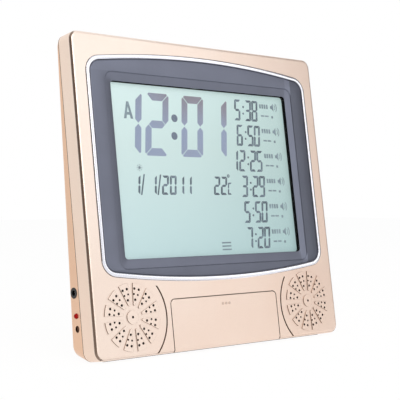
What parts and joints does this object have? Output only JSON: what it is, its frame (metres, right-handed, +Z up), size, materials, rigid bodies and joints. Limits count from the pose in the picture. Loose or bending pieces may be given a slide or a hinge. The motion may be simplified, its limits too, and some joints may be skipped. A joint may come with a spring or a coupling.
{
  "type": "table clock",
  "caption": "Free-standing table clock with a large digital display, speaker grilles below it, a flip door over its keys and a fold-out stand leg.",
  "frame": {"origin": "centre of the underside of the rubber base strip, where the clock stands on the table", "axes": "+Z up from the table, -Y towards the reader (the display faces -Y and leans back 8.3 degrees), +X to the right of the reader"},
  "size_m": [0.2236, 0.0506, 0.2111],
  "materials": {
    "champagne_case": "satin metallic paint",
    "champagne_back": "satin metallic paint, a shade darker",
    "bright_trim": "glossy bright silver white",
    "slate_bezel": "satin slate grey",
    "clear_lens": "clear thin acrylic, modelled as glass",
    "display_glass": "pale green-grey reflective display",
    "time_marks": "blue-grey liquid crystal marks",
    "small_marks": "grey liquid crystal marks",
    "white_diffuser": "white light guide",
    "black_foam": "matt foam",
    "dark_moulding": "moulded",
    "key_well": "fine satin moulding",
    "key_caps": "satin moulding",
    "key_rubber": "silicone",
    "circuit_board": "lacquered board",
    "board_components": "moulded components",
    "copper_ribbon": "polyimide ribbon",
    "plated_steel": "nickel plated",
    "cone_paper": "coated paper cone",
    "magnet_steel": "ferrite and steel cap",
    "lead_cover": "insulated lead",
    "cell_sleeve": "plain printed sleeve without lettering",
    "inlet_black": "moulded black",
    "lamp_red": "tinted clear red dome",
    "reset_brown": "moulded dark brown",
    "base_rubber": "matt rubber",
    "sensor_bead": "dipped bead"
  },
  "bodies": {
    "case": {"front_shell": "champagne_case", "rear_cover": "champagne_back", "trim_ring": "bright_trim", "bezel": "slate_bezel", "window_lens": "clear_lens", "lcd_gasket": "black_foam", "lcd_panel": "display_glass", "lcd_time_digits": "time_marks", "lcd_small_digits": "small_marks", "lcd_symbols": "small_marks", "light_guide": "white_diffuser", "backlight_leds": "white_diffuser", "lcd_holder": "dark_moulding", "lcd_ribbon": "copper_ribbon", "main_board": "circuit_board", "board_parts": "board_components", "board_screws": "plated_steel", "door_rod": "plated_steel", "key_tray": "key_well", "key_mat": "key_rubber", "key_board": "circuit_board", "latch_housing": "dark_moulding", "speaker_seals": "black_foam", "left_speaker_basket": "dark_moulding", "left_speaker_cone": "cone_paper", "left_speaker_magnet": "magnet_steel", "right_speaker_basket": "dark_moulding", "right_speaker_cone": "cone_paper", "right_speaker_magnet": "magnet_steel", "speaker_leads": "lead_cover", "leg_pin": "plated_steel", "battery_cells": "cell_sleeve", "battery_contacts": "plated_steel", "power_inlet": "inlet_black", "inlet_pin": "plated_steel", "red_lamp": "lamp_red", "side_board": "circuit_board", "case_screws": "plated_steel", "base_strip": "base_rubber", "temperature_sensor": "sensor_bead"},
    "flip_door": {"front_door": "champagne_case"},
    "key_body_1": {"key_1": "key_caps"},
    "key_body_2": {"key_2": "key_caps"},
    "key_body_3": {"key_3": "key_caps"},
    "key_body_4": {"key_4": "key_caps"},
    "key_body_5": {"key_5": "key_caps"},
    "key_body_6": {"key_6": "key_caps"},
    "key_body_7": {"key_7": "key_caps"},
    "key_body_8": {"key_8": "key_caps"},
    "latch": {"latch_plunger": "key_caps"},
    "leg": {"stand_leg": "champagne_back", "leg_tip": "base_rubber"},
    "lid": {"battery_lid": "champagne_back"},
    "reset": {"reset_button": "reset_brown"}
  },
  "joints": [
    {"name": "door_hinge", "type": "hinge", "parent": "case", "child": "flip_door", "pos_m": [0, -0.00867, 0.00432], "axis": [1, 0, 0], "range_deg": [0, 95]},
    {"name": "key_1_press", "type": "slide", "parent": "case", "child": "key_body_1", "axis": [0, 0.9895, -0.1444], "range_m": [0, 0.0006], "stiffness_N_per_m": 200, "springref_m": -0.0015},
    {"name": "key_2_press", "type": "slide", "parent": "case", "child": "key_body_2", "axis": [0, 0.9895, -0.1444], "range_m": [0, 0.0006], "stiffness_N_per_m": 200, "springref_m": -0.0015},
    {"name": "key_3_press", "type": "slide", "parent": "case", "child": "key_body_3", "axis": [0, 0.9895, -0.1444], "range_m": [0, 0.0006], "stiffness_N_per_m": 200, "springref_m": -0.0015},
    {"name": "key_4_press", "type": "slide", "parent": "case", "child": "key_body_4", "axis": [0, 0.9895, -0.1444], "range_m": [0, 0.0006], "stiffness_N_per_m": 200, "springref_m": -0.0015},
    {"name": "key_5_press", "type": "slide", "parent": "case", "child": "key_body_5", "axis": [0, 0.9895, -0.1444], "range_m": [0, 0.0006], "stiffness_N_per_m": 200, "springref_m": -0.0015},
    {"name": "key_6_press", "type": "slide", "parent": "case", "child": "key_body_6", "axis": [0, 0.9895, -0.1444], "range_m": [0, 0.0006], "stiffness_N_per_m": 200, "springref_m": -0.0015},
    {"name": "key_7_press", "type": "slide", "parent": "case", "child": "key_body_7", "axis": [0, 0.9895, -0.1444], "range_m": [0, 0.0006], "stiffness_N_per_m": 200, "springref_m": -0.0015},
    {"name": "key_8_press", "type": "slide", "parent": "case", "child": "key_body_8", "axis": [0, 0.9895, -0.1444], "range_m": [0, 0.0006], "stiffness_N_per_m": 200, "springref_m": -0.0015},
    {"name": "latch_push", "type": "slide", "parent": "case", "child": "latch", "axis": [0, 0.9895, -0.1444], "range_m": [0, 0.0015], "stiffness_N_per_m": 120, "springref_m": -0.002},
    {"name": "leg_fold", "type": "hinge", "parent": "case", "child": "leg", "pos_m": [0, 0.0205, 0.07815], "axis": [1, 0, 0], "range_deg": [-17.59, 0]},
    {"name": "lid_hinge", "type": "hinge", "parent": "case", "child": "lid", "pos_m": [0, 0.01527, 0.0073], "axis": [-1, 0, 0], "range_deg": [0, 80]},
    {"name": "reset_press", "type": "slide", "parent": "case", "child": "reset", "axis": [1, 0, 0], "range_m": [0, 0.0006], "stiffness_N_per_m": 200, "springref_m": -0.0015}
  ]
}
